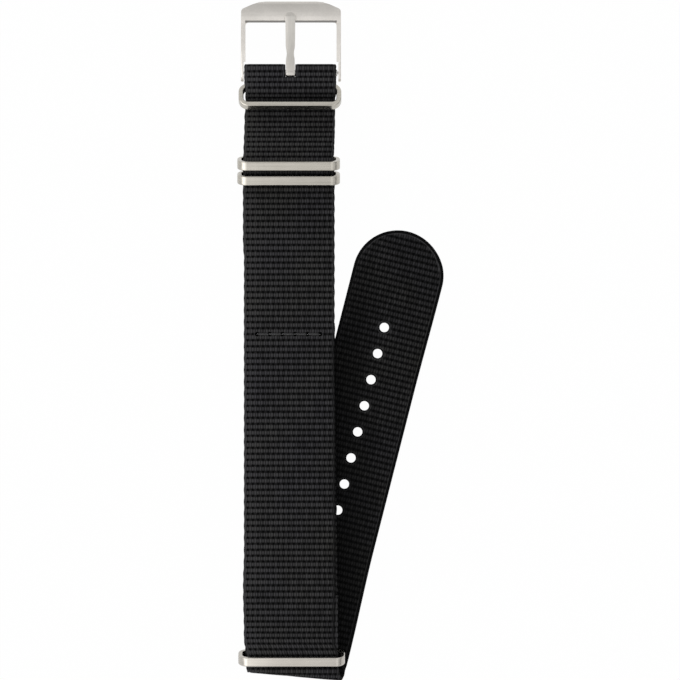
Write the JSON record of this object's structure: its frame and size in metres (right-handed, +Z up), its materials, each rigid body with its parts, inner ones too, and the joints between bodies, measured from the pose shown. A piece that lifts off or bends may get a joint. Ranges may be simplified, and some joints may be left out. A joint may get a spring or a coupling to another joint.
{
  "type": "watch strap",
  "caption": "Woven webbing watch strap with a pin buckle on a spring bar, flat steel rings, and its holed tail folded behind.",
  "frame": {"origin": "middle of the laid strap's footprint, on the surface that it lies on", "axes": "+Y along the strap towards the buckle, +Z up from the surface, +X towards the side that the tail leans to"},
  "size_m": [0.0548, 0.1814, 0.01],
  "materials": {
    "webbing": "dark grey ribbed nylon webbing",
    "thread": "black sewing thread",
    "buckle_steel": "satin steel",
    "tang_steel": "satin steel",
    "bar_steel": "plain steel",
    "ring_steel": "satin steel"
  },
  "bodies": {
    "strap": {"long_strap": "webbing", "short_strap": "webbing", "seam_stitches": "thread", "end_loop_stitches": "thread"},
    "buckle": {"buckle_frame": "buckle_steel", "spring_bar_tube": "bar_steel", "spring_bar_spring": "bar_steel"},
    "tang": {"tang": "tang_steel"},
    "tip_left": {"spring_bar_tip_left": "bar_steel"},
    "tip_right": {"spring_bar_tip_right": "bar_steel"},
    "ring_1": {"ring_1": "ring_steel"},
    "ring_2": {"ring_2": "ring_steel"},
    "ring_3": {"ring_3": "ring_steel"},
    "ring_4": {"ring_4": "ring_steel"}
  },
  "joints": [
    {"name": "buckle_pivot", "type": "hinge", "parent": "strap", "child": "buckle", "pos_m": [-0.01308, 0.07159, 0.0024], "axis": [1, 0, 0], "range_deg": [-45, 35]},
    {"name": "tang_pivot", "type": "hinge", "parent": "buckle", "child": "tang", "pos_m": [-0.01325, 0.07159, 0.0024], "axis": [1, 0, 0], "range_deg": [0, 60]},
    {"name": "tip_left_slide", "type": "slide", "parent": "buckle", "child": "tip_left", "axis": [1, 0, 0], "range_m": [0, 0.00075], "stiffness_N_per_m": 900, "springref_m": -0.0006, "deforming": ["spring_bar_spring"]},
    {"name": "tip_right_slide", "type": "slide", "parent": "buckle", "child": "tip_right", "axis": [-1, 0, 0], "range_m": [0, 0.00075], "stiffness_N_per_m": 900, "springref_m": -0.0006, "deforming": ["spring_bar_spring"]},
    {"name": "ring_1_pivot", "type": "hinge", "parent": "strap", "child": "ring_1", "pos_m": [-0.01334, 0.06769, 0.00273], "axis": [1, 0, 0], "range_deg": [-62, 14]},
    {"name": "ring_2_pivot", "type": "hinge", "parent": "strap", "child": "ring_2", "pos_m": [-0.01368, 0.04809, 0.00273], "axis": [1, 0, 0], "range_deg": [-60, 7]},
    {"name": "ring_3_pivot", "type": "hinge", "parent": "strap", "child": "ring_3", "pos_m": [-0.01368, 0.04419, 0.00273], "axis": [1, 0, 0], "range_deg": [-7, 45]},
    {"name": "ring_4_pivot", "type": "hinge", "parent": "strap", "child": "ring_4", "pos_m": [-0.01291, -0.08341, 0.00389], "axis": [1, 0, 0], "range_deg": [-60, 4]}
  ]
}
